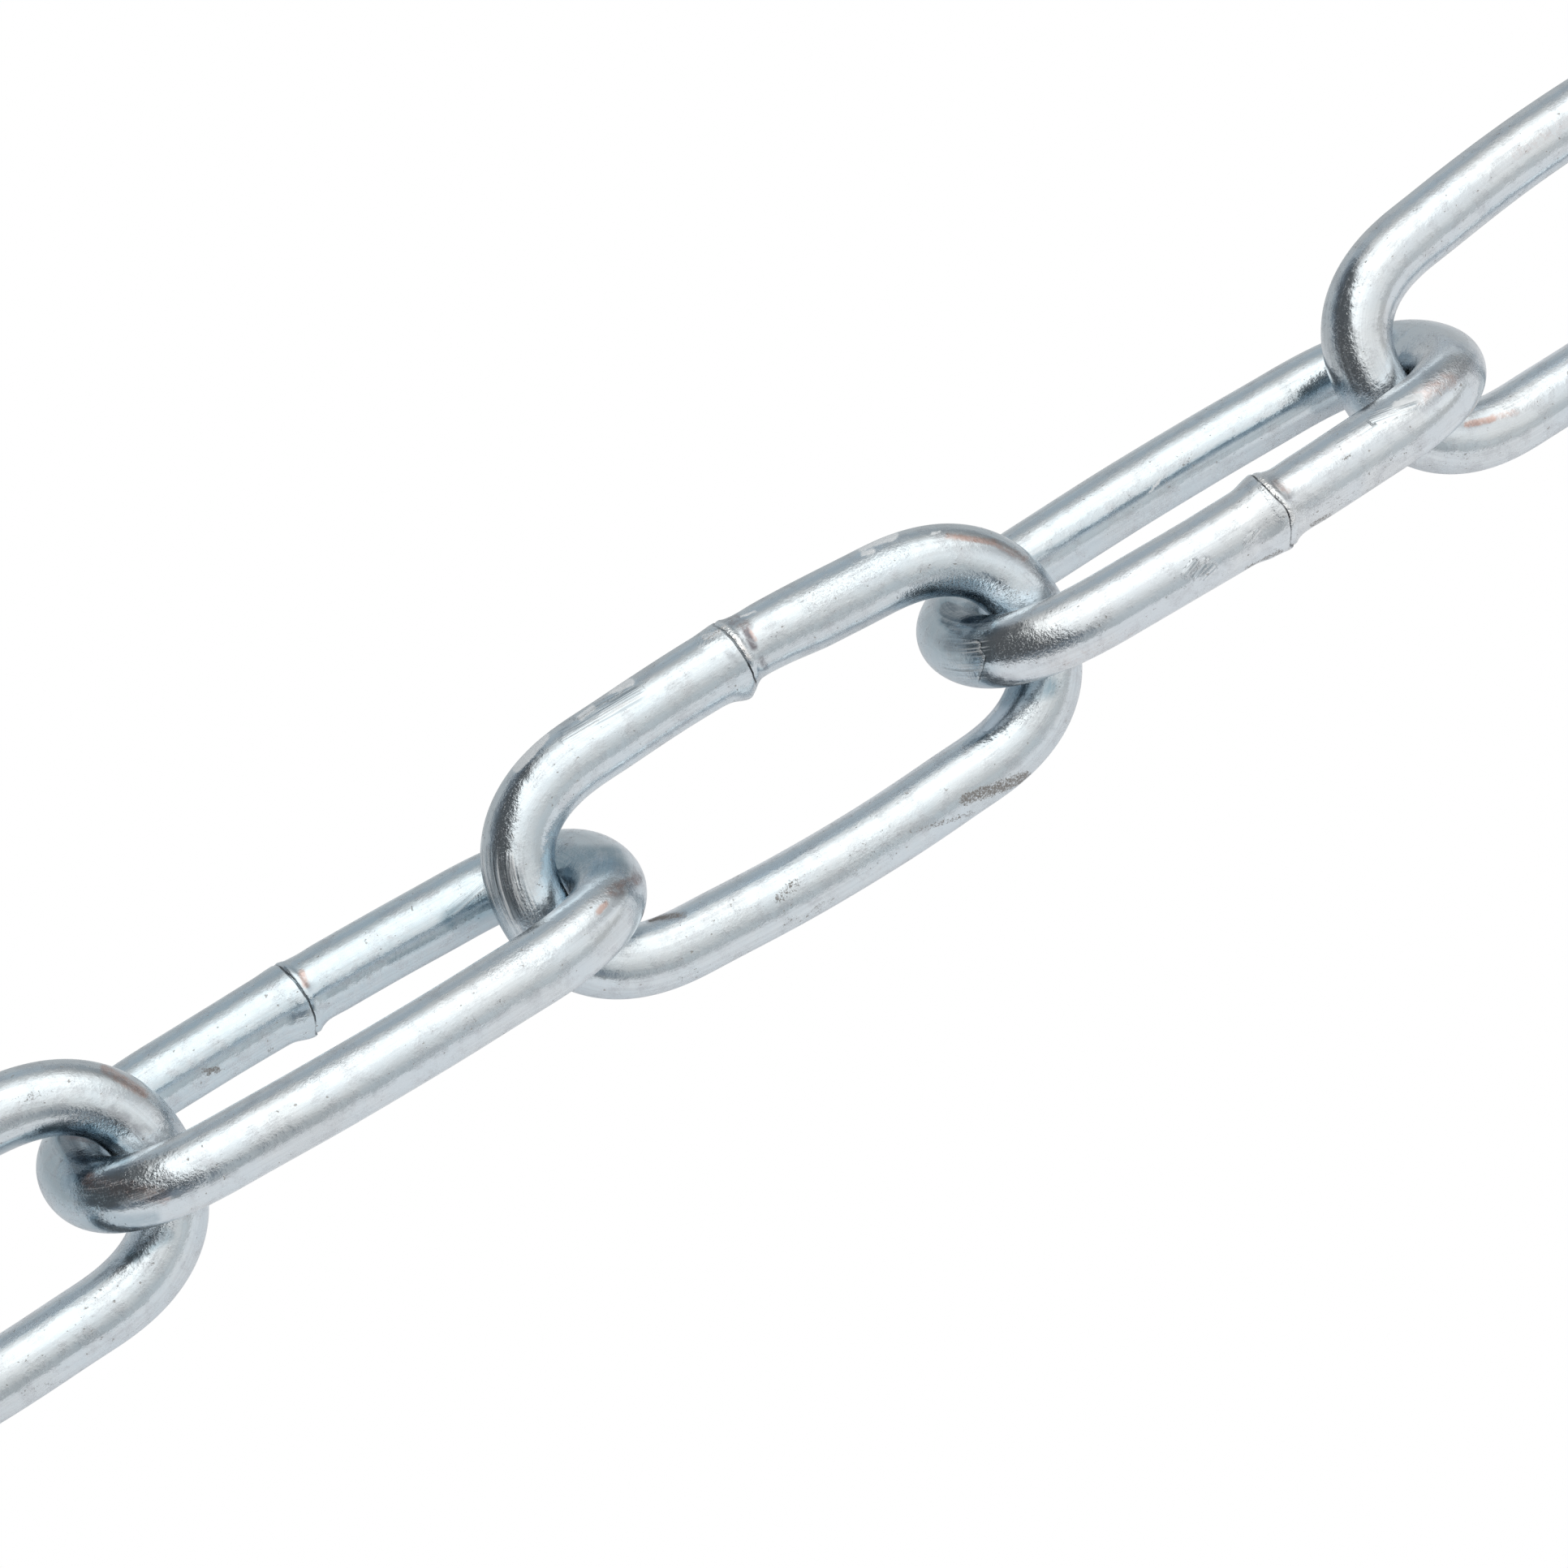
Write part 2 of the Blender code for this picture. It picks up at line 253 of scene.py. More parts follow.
# Blue passivation of the raised and the floor limb.
TINTS = {9: (0.8, 0.8), 10: (0.55, 0.5), 11: (0.4, 1.0), 12: (0.55, 0.5), 13: (0.12, 0.6), 14: (0.22, 0.3), 15: (0.3, 0.3)}
CRACK = (13, (1190, 787), (1205, 789), (1210, 793), (1208, 799), (1215, 808), (1214, 813), (1211, 825), (1208, 834))

# Where the butt welds of two links show, as the camera sees them.
SEAMS = {
    11: ((334, 1185), (341, 1189), (349, 1195), (356, 1202), (365, 1211), (372, 1221), (379, 1231), (384, 1242), (388, 1252), (389, 1262), (387, 1277)),
    12: ((870, 768), (881, 773), (893, 779), (903, 789), (913, 803), (921, 816), (928, 829), (932, 842), (933, 852)),
    13: ((1540, 583), (1546, 589), (1556, 598), (1567, 610), (1579, 620), (1585, 628), (1589, 638), (1591, 652), (1590, 672)),
}
PX_PER_M = 15500.0


def beside_seam(index, px, py):
    """Distance towards +X from the seam that shows in the picture, in metres."""
    nearest, signed = np.full(px.shape, 1e9), np.zeros(px.shape)
    for (x0, y0), (x1, y1) in zip(SEAMS[index], SEAMS[index][1:]):
        d, across, _ = stroke(px, py, x0, y0, x1, y1)
        closer = d < nearest
        nearest = np.where(closer, d, nearest)
        signed = np.where(closer, -np.sign(across) * d, signed)
    return signed / PX_PER_M


def stroke(px, py, x0, y0, x1, y1):
    """Distance in px from a stroke, and the coordinates across and along it."""
    dx, dy = x1 - x0, y1 - y0
    run = math.hypot(dx, dy)
    dx, dy = dx / run, dy / run
    along = (px - x0) * dx + (py - y0) * dy
    across = (py - y0) * dx - (px - x0) * dy
    off = along - np.clip(along, 0, run)
    return np.hypot(off, across), across, along


def scatter_marks(rng, marks, S, U, PHI, share):
    """Wear, dirt and heat tint where the photo doesn't show the links, as many as where it does."""
    tint_at = rng.uniform(0, 6.28)
    spots = [("blush", 0.9, (S - 0.0014) / 0.0006, tint_at, 0.0013)]
    for _ in range(16):
        kind = ("dirt", "frost", "blush", "dirt", "frost", "pale", "cut", "dirt")[rng.integers(8)]
        u0 = rng.uniform(0, LOOP)
        du = ((U - u0 + LOOP / 2) % LOOP - LOOP / 2) / rng.uniform(0.0008, 0.004)
        spots.append((kind, rng.uniform(0.35, 0.9), du, rng.uniform(0, 6.28), rng.uniform(0.0004, 0.0011)))
    for kind, amount, du, at, wide in spots:
        dp = ((PHI - at + np.pi) % (2 * np.pi) - np.pi) * WIRE_R
        marks[kind] = np.maximum(marks[kind], amount * share * bell(np.hypot(du, dp / wide)))


def put_marks(index, marks, weld, world, facing, U, PHI):
    """Fills the masks of one link, and returns the coordinates that its cuts' hairlines follow."""
    px, py = to_picture(world)
    front = smooth((facing - 0.02) / 0.15)
    lines = np.stack([PHI * WIRE_R * 1000 / 0.06, U * 1000 / 0.06, np.zeros_like(U)], -1)
    best = np.zeros(U.shape)
    for kind, x0, y0, x1, y1, wide, amount in SPOTS.get(index, ()):
        d, across, along = stroke(px, py, x0, y0, x1, y1)
        # Film and stain marks carry painted shade and reach further round towards the outline than the other marks.
        seen = smooth(facing / 0.06) if kind in ("painted_shade", "stain_and_shade") else front
        mask = amount * seen * (1 - smooth((d - 0.45 * wide) / (1.1 * wide)))
        if kind == "rub":
            marks["cut"] = np.maximum(marks["cut"], mask)
            continue
        marks[kind] = np.maximum(marks[kind], mask)
        if kind == "cut":
            more = mask > best
            lines[more] = np.stack([across, along, np.full(U.shape, 10.0 + x0)], -1)[more]
            best = np.maximum(best, mask)
    if index == CRACK[0]:
        nearest = np.full(U.shape, 1e9)
        for (x0, y0), (x1, y1) in zip(CRACK[1:], CRACK[2:]):
            d, across, _ = stroke(px, py, x0, y0, x1, y1)
            closer = d < nearest
            nearest = np.minimum(nearest, d)
            near = front * (1 - smooth((d - 3) / 6))
            held = closer & (near > 0.02)
            weld[held] = across[held] * 0.12
            marks["seam"] = np.maximum(marks["seam"], 0.8 * near)
            marks["lip"] = np.maximum(marks["lip"], near * (1.0 if 788 < y0 < 806 else 0.3))
    return lines


def weld_facts(index):
    """Swelling of the weld: mean, one-sided part and its direction round the wire, burr depth and direction."""
    known = {
        11: (0.00027, 0.00018, 115, 0.00010, 120),
        12: (0.00010, 0.00004, 170, 0.00050, 172),
        13: (0.00036, 0.00004, 67, 0.00014, 70),
    }
    rng = random.Random(100 + index)
    return known.get(index) or (rng.uniform(0.00014, 0.00034), rng.uniform(0, 0.00012), rng.uniform(0, 360), rng.uniform(0, 0.0004), rng.uniform(0, 360))


def ring_places(seam, fine):
    """Lengths along the loop where rings go: even all round, and close together at the seam."""
    step = 0.00025 if fine else 0.00095
    rough = np.arange(0, LOOP, step)
    near = np.arange(-0.0036, 0.0036, 0.00011 if fine else 0.0003)
    close = np.arange(-0.00075, 0.00075, 0.00003 if fine else 0.0001)
    d = (rough - seam + LOOP / 2) % LOOP - LOOP / 2
    rough = rough[np.abs(d) > 0.0036]
    near = near[np.abs(near) > 0.00075]
    places = np.unique(np.round(np.concatenate([rough, (seam + near) % LOOP, (seam + close) % LOOP]), 7))
    apart = np.diff(np.r_[places, places[0] + LOOP])
    return places[apart > 0.00002]


def build_link(index, lay):
    name = "link_%02d" % (index + 1)
    fine = 9 <= index <= 15
    axes = link_axes(index, lay)
    middle = link_middle(name, axes)
    rng = np.random.default_rng(400 + index)
    side, offset = weld_side(index), seam_offset(index)
    on_limb = np.where((np.sign(LINE[:, 1]) == side) & (np.abs(LINE[:, 0]) < LIMB_HALF))[0]
    seam = RUN[on_limb[np.argmin(np.abs(LINE[on_limb, 0] - offset))]]
    u = ring_places(seam, fine)
    ext = np.r_[RUN, LOOP]
    line = np.vstack([LINE, LINE[:1]])
    cx, cy = np.interp(u, ext, line[:, 0]), np.interp(u, ext, line[:, 1])
    h = 0.0002
    tx = np.interp((u + h) % LOOP, ext, line[:, 0]) - np.interp((u - h) % LOOP, ext, line[:, 0])
    ty = np.interp((u + h) % LOOP, ext, line[:, 1]) - np.interp((u - h) % LOOP, ext, line[:, 1])
    norm = np.hypot(tx, ty)
    tx, ty = tx / norm, ty / norm
    sides = 88 if fine else 32
    phi = np.linspace(0, 2 * np.pi, sides, endpoint=False)
    U, PHI = np.meshgrid(u, phi, indexing="ij")
    # distance from the seam along +X, and round the wire from its outer side
    S = -side * ((U - seam + LOOP / 2) % LOOP - LOOP / 2)
    mean, lop, lop_at, burr, burr_at = weld_facts(index)
    lop_at, burr_at = math.radians(lop_at), math.radians(burr_at)
    ragged = sum(a * np.sin(m * PHI + p) for a, m, p in zip((0.00004, 0.00003, 0.00002, 0.000012), (2, 5, 9, 17), rng.uniform(0, 6.28, 4)))
    lean_over = 0.00015 * np.cos(PHI - rng.uniform(0, 6.28))
    C = np.stack([cx, cy, np.zeros_like(cx)], 1)[:, None, :]
    OUT = np.stack([ty, -tx, np.zeros_like(cx)], 1)[:, None, :]
    out = np.cos(PHI)[..., None] * OUT + np.sin(PHI)[..., None] * np.array([0.0, 0.0, 1.0])
    Sr = S + ragged + lean_over
    if index in SEAMS:
        mean, lop, lop_at, _, _ = weld_facts(index)
        plain = (C + (WIRE_R + 0.85 * mean + lop * np.cos(PHI - math.radians(lop_at)))[..., None] * out) @ axes.T + middle
        seen = smooth(((out @ axes.T * (CAM_AT - plain)).sum(-1) / np.linalg.norm(CAM_AT - plain, axis=-1) - 0.05) / 0.25)
        seam_x, seam_y = to_picture(plain)
        shown = beside_seam(index, seam_x, seam_y) + 0.35 * ragged
        Sr = np.where(np.abs(S) < 0.006, Sr + seen * (shown - Sr), Sr)
    swell = mean + lop * np.cos(PHI - lop_at)
    R = np.full(U.shape, WIRE_R)
    left = swell * smooth(1 + Sr / 0.0023) + 0.00006 * smooth(1 + S / 0.0085)
    right = 0.70 * swell * smooth(1 - Sr / 0.0016) + 0.00010 * bell((Sr - 0.00038) / 0.00026) - 0.00005 * bell((S - 0.0021) / 0.0009)
    R += np.where(Sr < 0, left, right)
    turn = (PHI - burr_at + np.pi) % (2 * np.pi) - np.pi
    R += burr * bell(turn / 0.42) * np.where(S < -0.00045, bell((S + 0.00045) / 0.00115), bell((S + 0.00045) / 0.00075))
    if index == 13:
        # a lump of upset metal before the seam
        R += 0.00024 * bell(turn / 0.55) * bell((S + 0.0021) / 0.0009)
    if index == 12:
        # thinner past the seam on the side towards the floor
        R -= 0.00030 * bell((PHI - math.radians(172)) / 0.9) * np.where(S > 0, smooth((S + 0.0) / 0.0010) * smooth((0.0080 - S) / 0.0050), 0)
    broken = 0.45 + 0.55 * smooth(0.5 + 0.9 * sum(np.sin(m * PHI + p) for m, p in zip((1, 3, 7), rng.uniform(0, 6.28, 3))))
    groove = bell(Sr / 0.00006) * broken
    R -= 0.00012 * groove
    # slow unevenness of drawn and bent wire
    for m in range(1, 5):
        k = 2 * np.pi * m * 3 / LOOP
        R += 0.000012 / m * np.sin(k * U + (m % 3) * PHI + rng.uniform(0, 6.28))
    marks = {key: np.zeros(U.shape) for key in MARKS}
    marks["seam"] = bell(S / 0.0032)
    if index in SEAMS:
        wide = {11: (0.75, 0.8), 12: (0.45, 1.0), 13: (1.0, 0.7)}[index]
        low = smooth((seam_y - {11: 1225, 12: 812, 13: 636}[index]) / 12)
        marks["seam"] *= wide[0] + (wide[1] - wide[0]) * low
    raised, floor = TINTS.get(index, (rng.uniform(0.1, 1.0),) * 2)
    marks["tint"] += floor + (raised - floor) * smooth(0.5 + cy / (2 * HALF_WIDTH))[:, None]
    lip_at = rng.uniform(0, 6.28)
    marks["lip"] = bell((Sr - 0.0004) / 0.0012) * bell(((PHI - lip_at + np.pi) % (2 * np.pi) - np.pi) / 0.8)
    if index in SEAMS:
        marks["lip"] *= 0.0
    weld = np.clip(Sr * 1000, -9, 9)
    world = (C + R[..., None] * out) @ axes.T + middle
    world[..., 2] = np.maximum(world[..., 2], 0.00001)
    view = CAM_AT - world
    facing = (out @ axes.T * view).sum(-1) / np.linalg.norm(view, axis=-1)
    scatter_marks(rng, marks, S, U, PHI, 1 - smooth((facing + 0.1) / 0.2) if 9 <= index <= 14 else 1.0)
    lines = put_marks(index, marks, weld, world, facing, U, PHI)
    flat = world.reshape(-1, 3)
    nr, ns = U.shape
    ring = np.arange(nr)[:, None] * ns
    nxt = (np.arange(nr)[:, None] + 1) % nr * ns
    j, j2 = np.arange(ns)[None], (np.arange(ns)[None] + 1) % ns
    faces = np.stack([ring + j, nxt + j, nxt + j2, ring + j2], -1).reshape(-1, 4)
    mesh = bpy.data.meshes.new(name + "_zinc")
    mesh.vertices.add(len(flat))
    mesh.vertices.foreach_set("co", flat.astype(np.float32).ravel())
    mesh.loops.add(faces.size)
    mesh.loops.foreach_set("vertex_index", faces.ravel().astype(np.int32))
    mesh.polygons.add(len(faces))
    mesh.polygons.foreach_set("loop_start", np.arange(0, faces.size, 4, dtype=np.int32))
    mesh.update(calc_edges=True)
    mesh.validate()
    mesh.polygons.foreach_set("use_smooth", np.ones(len(mesh.polygons), bool))
    if sum(p.normal.dot(p.center - Vector(flat.mean(0))) for p in list(mesh.polygons)[:: max(1, len(mesh.polygons) // 400)]) < 0:
        mesh.flip_normals()
    drawn = np.stack([R * np.cos(PHI), R * np.sin(PHI), 0.006 * np.cos(2 * np.pi * U / LOOP + index) + 0.1 * index], -1)
    for key, value in (("drawn", drawn), ("lines", lines)):
        mesh.attributes.new(key, "FLOAT_VECTOR", "POINT").data.foreach_set("vector", value.astype(np.float32).ravel())
    mesh.attributes.new("weld", "FLOAT", "POINT").data.foreach_set("value", weld.astype(np.float32).ravel())
    for key in MARKS:
        mesh.attributes.new(key, "FLOAT", "POINT").data.foreach_set("value", np.clip(marks[key], 0, 1).astype(np.float32).ravel())
    print(name, "triangles", 2 * len(faces))
    obj = bpy.data.objects.new(name + "_zinc", mesh)
    bpy.context.scene.collection.objects.link(obj)
    return obj


# ---------------------------------------------------------------- material
class Nodes:
    """Short calls that add nodes to one tree and return the output socket."""

    def __init__(self, tree):
        self.tree = tree
        tree.nodes.clear()

    def add(self, kind, **values):
        n = self.tree.nodes.new(kind)
        for key, value in values.items():
            setattr(n, key, value)
        return n

    def put(self, socket, value):
        if isinstance(value, bpy.types.NodeSocket):
            self.tree.links.new(value, socket)
        elif isinstance(value, tuple) and len(value) == 3 and socket.type == "RGBA":
            socket.default_value = value + (1.0,)
        else:
            socket.default_value = value

    def attr(self, name, out="Fac"):
        return self.add("ShaderNodeAttribute", attribute_name=name).outputs[out]

    def math(self, op, a, b=None, clamp=False):
        n = self.add("ShaderNodeMath", operation=op, use_clamp=clamp)
        self.put(n.inputs[0], a)
        if b is not None:
            self.put(n.inputs[1], b)
        return n.outputs[0]

    def mul(self, *values):
        out = values[0]
        for v in values[1:]:
            out = self.math("MULTIPLY", out, v)
        return out

    def sum(self, *values):
        out = values[0]
        for v in values[1:]:
            out = self.math("ADD", out, v)
        return out

    def scale(self, vector, factors):
        n = self.add("ShaderNodeVectorMath", operation="MULTIPLY")
        self.put(n.inputs[0], vector)
        n.inputs[1].default_value = factors
        return n.outputs[0]

    def noise(self, vector, scale, detail=2.0, rough=0.5, distortion=0.0):
        n = self.add("ShaderNodeTexNoise")
        for key, v in (("Vector", vector), ("Scale", scale), ("Detail", detail), ("Roughness", rough), ("Distortion", distortion)):
            self.put(n.inputs[key], v)
        return n.outputs["Fac"]

    def ramp(self, value, lo, hi, a=0.0, b=1.0, kind="SMOOTHSTEP"):
        n = self.add("ShaderNodeMapRange", clamp=True, interpolation_type=kind)
        for key, v in (("Value", value), ("From Min", lo), ("From Max", hi), ("To Min", a), ("To Max", b)):
            self.put(n.inputs[key], v)
        return n.outputs[0]

    def mix(self, factor, a, b):
        n = self.add("ShaderNodeMix", data_type="RGBA")
        for i, v in ((0, factor), (6, a), (7, b)):
            self.put(n.inputs[i], v)
        return n.outputs[2]

    def stops(self, value, stops, kind="LINEAR"):
        n = self.add("ShaderNodeValToRGB")
        n.color_ramp.interpolation = kind
        while len(n.color_ramp.elements) > 1:
            n.color_ramp.elements.remove(n.color_ramp.elements[-1])
        for i, (at, level, *tint) in enumerate(stops):
            e = n.color_ramp.elements[0] if i == 0 else n.color_ramp.elements.new(at)
            e.position = at
            e.color = tuple(level * c for c in (tint[0] if tint else (1, 1, 1))) + (1.0,)
        self.put(n.inputs[0], value)
        return n.outputs[0]


def zinc_material():
    mat = bpy.data.materials.new("zinc_plate")
    mat.use_nodes = True
    n = Nodes(mat.node_tree)
    out = n.add("ShaderNodeOutputMaterial")
    bsdf = n.add("ShaderNodeBsdfPrincipled")
    n.put(out.inputs[0], bsdf.outputs[0])

    place = n.add("ShaderNodeTexCoord").outputs["Object"]
    drawn = n.attr("drawn", "Vector")
    lines = n.attr("lines", "Vector")
    dirt, blush, pale, frost, cut, stain_and_shade, painted_shade, bead, tint, seam = (n.attr(m) for m in MARKS)

    broad = n.noise(place, 150, 3, 0.55)
    mottle = n.noise(place, 700, 3, 0.6)
    grain = n.noise(place, 4200, 2, 0.55)
    fine = n.noise(place, 9000, 1, 0.5)
    drag = n.noise(n.scale(drawn, (1.0, 1.0, 0.05)), 4200, 3, 0.6)
    hairs = n.noise(n.scale(lines, (0.24, 0.008, 1.0)), 1.0, 2, 0.65)
    dots = n.noise(place, 2600, 1.5, 0.5)

    # how much of the grain shows, patch by patch
    gritty = n.math("ADD", n.ramp(mottle, 0.36, 0.64, 0.10, 0.50), frost, clamp=True)

    # the weld: a thin gap, a pale bead past it and a stained neck
    cloud = n.noise(place, 1500, 3, 0.6)
    weld = n.sum(n.attr("weld"), n.mul(cloud, 0.14), n.mul(grain, 0.12), -0.13)
    gap = n.mul(seam, n.ramp(n.math("ABSOLUTE", weld), 0.045, 0.125, 1.0, 0.0), n.ramp(mottle, 0.34, 0.52, 0.25, 1.0))
    lip = n.mul(bead, n.ramp(weld, 0.05, 0.16), n.ramp(weld, 0.36, 0.62, 1.0, 0.0), n.ramp(cloud, 0.38, 0.56, 0.35, 1.0))
    neck = n.mul(bead, n.ramp(weld, 0.45, 0.70), n.ramp(weld, 0.9, 1.8, 1.0, 0.0), n.ramp(cloud, 0.42, 0.66, 0.0, 0.35))

    # matt pits: they look pale in dark reflections and dark in bright ones
    pit = n.mul(n.ramp(n.noise(place, 7200, 1.5, 0.6), 0.55, 0.66), n.ramp(gritty, 0.0, 1.0, 0.12, 1.0))

    # colour
    base = n.mix(n.ramp(broad, 0.38, 0.62), (0.74, 0.79, 0.835), (0.81, 0.835, 0.855))
    base = n.mix(n.mul(tint, n.ramp(cloud, 0.35, 0.65, 0.7, 1.0)), base, (0.655, 0.755, 0.815))
    base = n.mix(n.ramp(mottle, 0.48, 0.70, 0, 0.50), base, (0.585, 0.61, 0.645))
    base = n.mix(n.ramp(n.sum(n.mul(drag, 0.5), n.mul(broad, 0.5)), 0.46, 0.60, 0, 0.22), base, (0.50, 0.52, 0.55))
    base = n.mix(n.mul(n.ramp(grain, 0.50, 0.66), gritty, 0.30), base, (0.43, 0.44, 0.46))
    speck = n.ramp(n.sum(dots, n.mul(mottle, 0.22)), 0.82, 0.88)
    base = n.mix(n.mul(speck, 0.70), base, (0.36, 0.34, 0.32))
    base = n.mix(n.mul(pit, 0.16), base, (0.56, 0.565, 0.58))
    # Painted shade and painted dark reflection: where film marks lie, the colour turns dark blue-grey.
    painted_shade_amount = n.mul(painted_shade, n.ramp(n.sum(n.mul(mottle, 0.5), n.mul(drag, 0.5)), 0.40, 0.62, 1.0, 0.6))
    base = n.mix(painted_shade_amount, base, n.mix(n.ramp(painted_shade, 0.82, 0.97), (0.24, 0.355, 0.43), (0.10, 0.155, 0.20)))
    # Real stains, the weld's stained neck and painted shade inside the crowns darken the colour here.
    smudge_and_shade = n.math("MAXIMUM", n.mul(stain_and_shade, n.ramp(cloud, 0.34, 0.60, 0.45, 1.0)), neck)
    base = n.mix(n.mul(smudge_and_shade, 0.92), base, (0.19, 0.175, 0.195))
    pink = n.ramp(n.sum(blush, n.mul(cloud, 0.9), n.mul(grain, 0.5)), 0.75, 1.75)
    pink = n.mul(pink, n.ramp(blush, 0.0, 0.3))
    base = n.mix(n.mul(pink, 0.70), base, (0.60, 0.37, 0.30))
    # Pale deposits, and a painted highlight where a thin pale stroke paints a glint.
    white = n.ramp(n.sum(pale, n.mul(cloud, 1.1), n.mul(grain, 0.5)), 0.95, 1.55)
    white = n.mul(white, n.ramp(pale, 0.0, 0.3))
    base = n.mix(white, base, (0.92, 0.945, 0.97))
    soil = n.ramp(n.sum(n.mul(dirt, 0.30), n.mul(cloud, 0.35), n.mul(n.noise(place, 6400, 2, 0.65), 0.65)), 0.67, 0.84)
    soil = n.mul(soil, n.ramp(dirt, 0.0, 0.25))
    base = n.mix(n.mul(soil, 0.85), base, (0.25, 0.225, 0.205))
    scored = n.mul(cut, n.ramp(hairs, 0.55, 0.62))
    base = n.mix(n.mul(cut, n.ramp(hairs, 0.50, 0.41), 0.75), base, (0.33, 0.38, 0.42))
    base = n.mix(n.mul(scored, 0.8), base, (0.96, 0.97, 0.98))
    base = n.mix(lip, base, (0.94, 0.93, 0.92))
    base = n.mix(n.mul(gap, 0.93), base, (0.045, 0.045, 0.05))
    n.put(bsdf.inputs["Base Color"], base)
    n.put(bsdf.inputs["Metallic"], n.sum(1.0, n.mul(white, -0.60), n.mul(soil, -0.5), n.mul(scored, -0.45)))

    # gloss
    rough = n.sum(
        n.ramp(broad, 0.3, 0.7, 0.135, 0.205), n.mul(pit, 0.32), n.mul(n.ramp(drag, 0.50, 0.66), n.ramp(mottle, 0.40, 0.60), 0.17), n.mul(white, 0.30), n.mul(lip, 0.05), n.mul(scored, 0.24),
        n.mul(soil, 0.45), n.mul(speck, 0.2), n.mul(cut, 0.08), n.mul(smudge_and_shade, 0.12),
    )
    n.put(bsdf.inputs["Roughness"], rough)

    # relief, in micrometres
    height = n.sum(
        n.mul(drag, 5.0),
        n.mul(grain, n.ramp(gritty, 0.0, 1.0, 1.5, 38.0)),
        n.mul(fine, n.ramp(gritty, 0.0, 1.0, 1.0, 8.0)),
        n.mul(mottle, 10.0),
        n.mul(broad, 25.0),
        n.mul(hairs, cut, 80.0),
        n.mul(bead, seam, n.ramp(weld, 0.0, 0.12), n.math("SUBTRACT", n.sum(n.mul(cloud, 0.6), n.mul(grain, 0.4)), 0.5), 330.0),
        n.mul(pit, -3.0),
        n.mul(n.ramp(mottle, 0.45, 0.60), pale, 14.0),
        n.mul(soil, 8.0),
        n.mul(speck, -10.0),
    )
    bump = n.add("ShaderNodeBump")
    bump.inputs["Distance"].default_value = 0.000001
    n.put(bump.inputs["Height"], height)
    n.put(bsdf.inputs["Normal"], bump.outputs[0])
    return mat


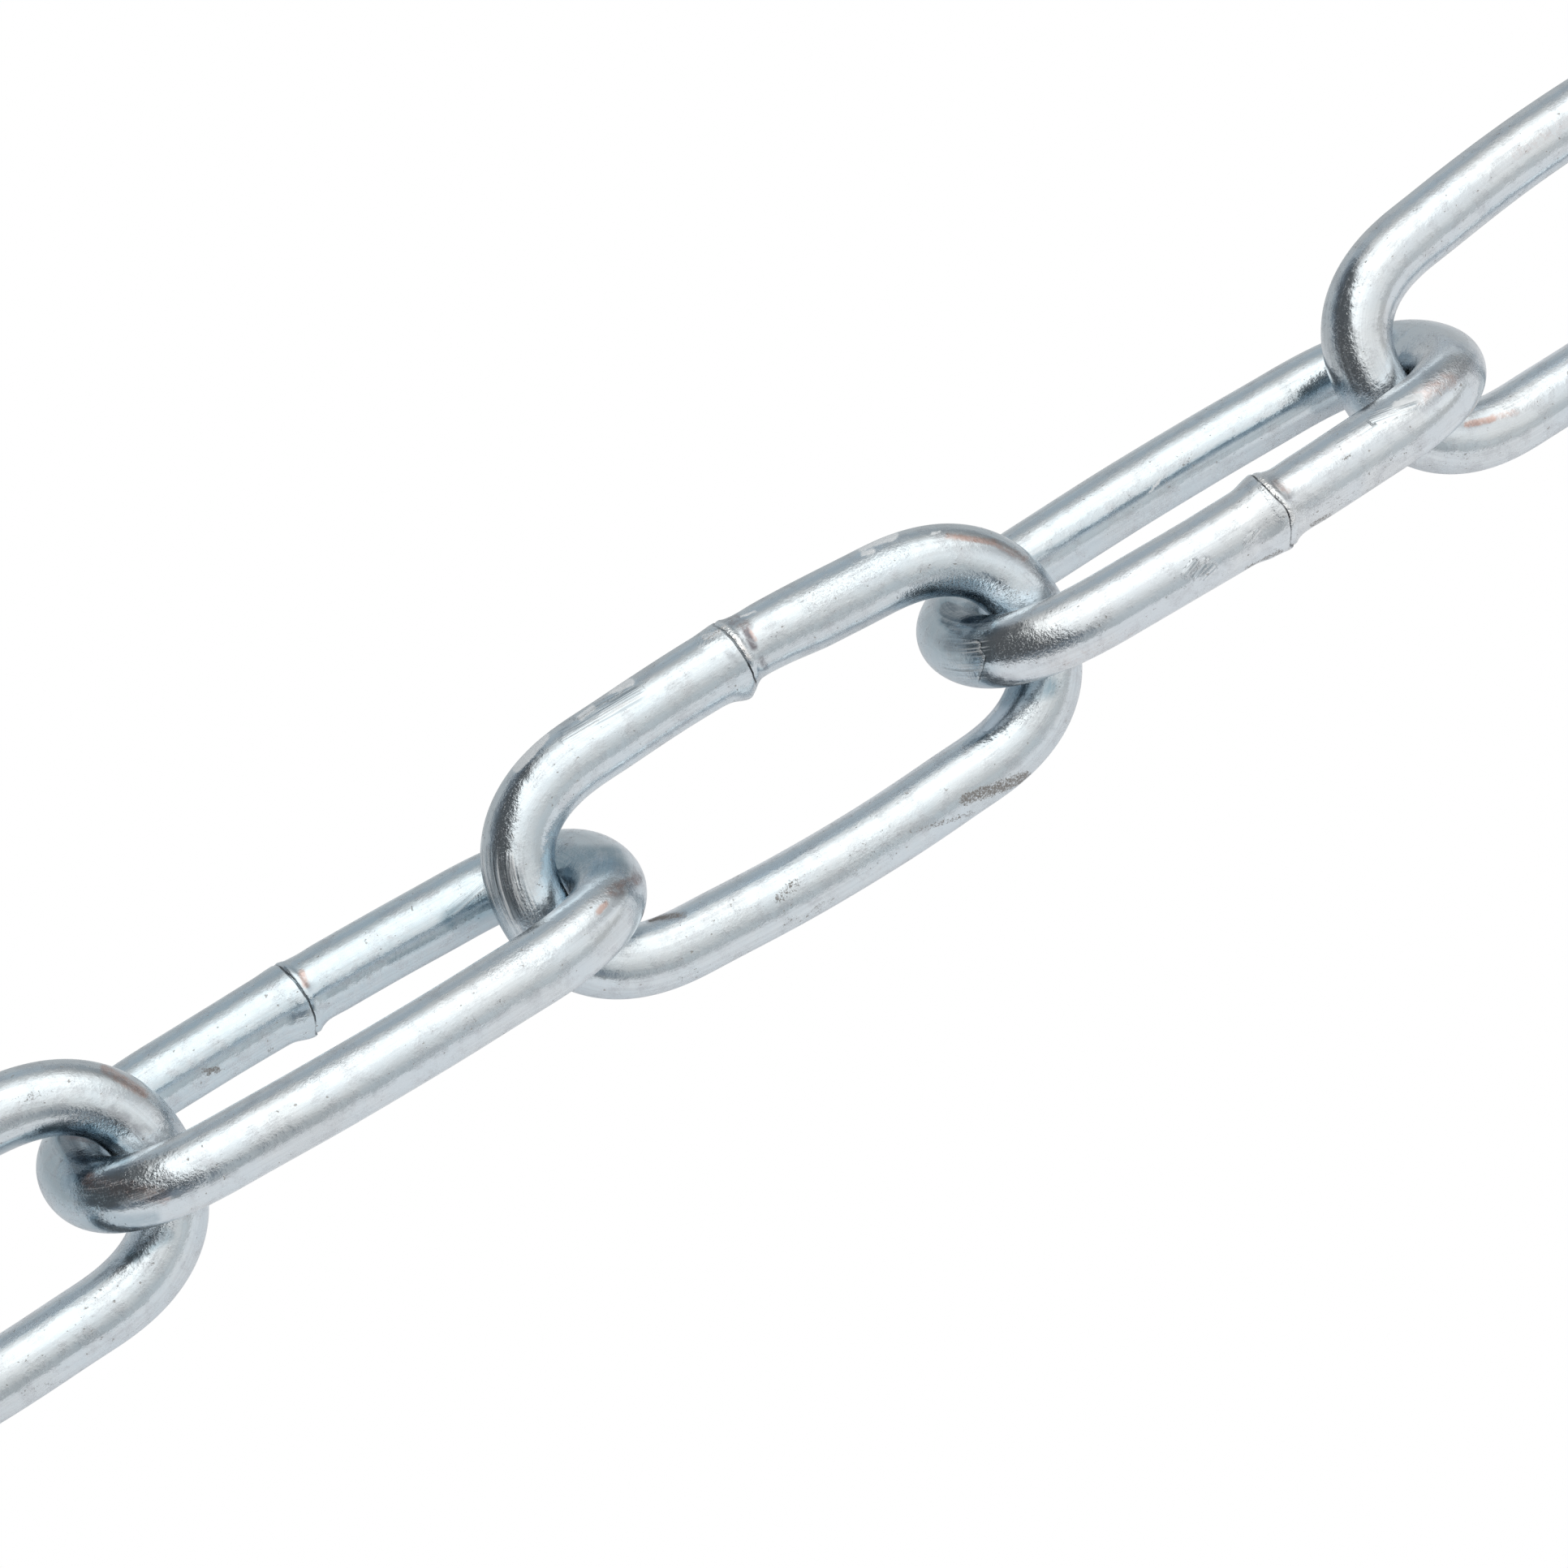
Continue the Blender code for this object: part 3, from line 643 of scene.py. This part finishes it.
# ---------------------------------------------------------------- studio
def studio():
    """A long soft box overhead, a dark end at -X and plain walls, as the reflections in the metal show them."""
    world = bpy.data.worlds.new("studio")
    bpy.context.scene.world = world
    world.use_nodes = True
    n = Nodes(world.node_tree)
    out = n.add("ShaderNodeOutputWorld")
    bg = n.add("ShaderNodeBackground")
    n.put(out.inputs[0], bg.outputs[0])
    split = n.add("ShaderNodeSeparateXYZ")
    n.put(split.inputs[0], n.add("ShaderNodeTexCoord").outputs["Generated"])
    x, y, z = split.outputs
    # angle over the chain: 0 at the horizon in front, 0.5 overhead, 1 at the horizon behind
    angle = n.mul(n.math("ARCTAN2", z, n.mul(y, -1.0)), 1 / math.pi)
    cool, low, blue = (1.0, 0.995, 0.975), (0.955, 1.0, 1.015), (0.90, 1.0, 1.07)
    middle = n.stops(angle, [
        (0.0, 0.41, low), (0.015, 0.43, low), (0.035, 0.48, low), (0.11, 0.52, low), (0.17, 0.62, cool), (0.26, 0.87, cool),
        (0.33, 1.05, cool), (0.38, 1.15, cool), (0.45, 1.42, (1.0, 1.0, 0.975)), (0.64, 1.52, (1.0, 1.0, 0.975)), (0.69, 1.18, cool), (0.75, 0.76, cool), (0.80, 0.56, cool), (0.86, 0.48, blue),
        (0.95, 0.48, blue), (1.0, 0.54, blue)])
    front = n.stops(angle, [(0.0, 0.58, low), (0.015, 0.60, low), (0.035, 0.64, low), (0.11, 0.67, low), (0.17, 0.72, cool), (0.26, 0.87, cool)])
    near = n.ramp(angle, 0.24, 0.26, 1.0, 0.0)
    middle = n.mix(n.mul(near, n.ramp(x, -0.08, 0.36)), middle, front)
    deep, black = (0.86, 0.99, 1.13), (0.95, 1.0, 1.05)
    dark = n.stops(angle, [(0.0, 0.30, cool), (0.08, 0.26, deep), (0.16, 0.14, deep), (0.22, 0.10, black), (0.80, 0.10, black), (0.86, 0.11, deep), (0.92, 0.20, deep), (0.97, 0.36, blue), (1.0, 0.48, blue)])
    right = n.stops(angle, [(0.0, 0.54, cool), (0.12, 0.58, cool), (0.20, 1.0, cool), (0.30, 0.92), (0.42, 0.60), (0.55, 0.42), (0.80, 0.30, cool), (1.0, 0.32, blue)])
    edge = n.stops(angle, [
        (0.0, 0.36), (0.05, 0.40), (0.12, 0.435), (0.20, 0.40), (0.27, 0.320), (0.34, 0.268), (0.50, 0.290), (0.60, 0.32), (0.68, 0.365),
        (0.76, 0.42), (0.86, 0.45), (0.94, 0.46), (1.0, 0.44)])
    from_edge = n.math("SUBTRACT", n.ramp(x, -1.0, 1.0, kind="LINEAR"), edge)
    light = n.mix(n.ramp(from_edge, -0.035, 0.055), dark, middle)
    far = n.stops(angle, [(0.0, 0.66), (0.42, 0.64), (0.52, 0.76), (0.70, 0.78), (0.85, 0.70), (1.0, 0.66)])
    light = n.mix(n.ramp(n.math("SUBTRACT", n.ramp(x, -1.0, 1.0, kind="LINEAR"), far), 0.0, 0.22, kind="LINEAR"), light, right)
    # the camera itself sees a plain pale ground
    seen = n.add("ShaderNodeLightPath").outputs["Is Camera Ray"]
    n.put(bg.inputs[0], n.mix(seen, light, (1.0, 1.0, 1.0)))
    bg.inputs[1].default_value = 1.0

    size = 3.0
    mesh = bpy.data.meshes.new("floor")
    mesh.from_pydata([(-size, -size, 0), (size, -size, 0), (size, size, 0), (-size, size, 0)], [], [(0, 1, 2, 3)])
    floor = bpy.data.objects.new("floor", mesh)
    bpy.context.scene.collection.objects.link(floor)
    mat = bpy.data.materials.new("pale_floor")
    mat.use_nodes = True
    n = Nodes(mat.node_tree)
    out = n.add("ShaderNodeOutputMaterial")
    both = n.add("ShaderNodeAddShader")
    diffuse = n.add("ShaderNodeBsdfDiffuse")
    glow = n.add("ShaderNodeEmission")
    split = n.add("ShaderNodeSeparateXYZ")
    n.put(split.inputs[0], n.add("ShaderNodeTexCoord").outputs["Object"])
    # Painted light and painted shade: the floor glows for the metal, less behind the chain towards +Y, and its colour
    # is darker there too.
    behind = n.ramp(split.outputs[1], -0.001, 0.030)
    n.put(diffuse.inputs[0], n.mix(behind, (0.70, 0.69, 0.69), (0.50, 0.515, 0.525)))
    n.put(glow.inputs[0], n.mix(behind, (0.31, 0.315, 0.325), (0.135, 0.14, 0.145)))
    n.put(both.inputs[0], diffuse.outputs[0])
    n.put(both.inputs[1], glow.outputs[0])
    # the metal sees the floor; the camera, and a link swung below it, see the white studio instead
    seen = n.add("ShaderNodeLightPath").outputs["Is Camera Ray"]
    below = n.add("ShaderNodeNewGeometry").outputs["Backfacing"]
    clear = n.add("ShaderNodeBsdfTransparent")
    one_way = n.add("ShaderNodeMixShader")
    n.put(one_way.inputs[0], n.math("MAXIMUM", seen, below))
    n.put(one_way.inputs[1], both.outputs[0])
    n.put(one_way.inputs[2], clear.outputs[0])
    n.put(out.inputs[0], one_way.outputs[0])
    mesh.materials.append(mat)


# ---------------------------------------------------------------- build
make_camera()
studio()
zinc = zinc_material()
for index, lay in enumerate(lays()):
    piece = build_link(index, lay)
    piece.data.materials.append(zinc)
    body = "link_%02d" % (index + 1)
    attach(piece, body)
    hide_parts(body)

bpy.context.scene.view_settings.view_transform = "Standard"
bpy.context.scene.view_settings.look = "None"
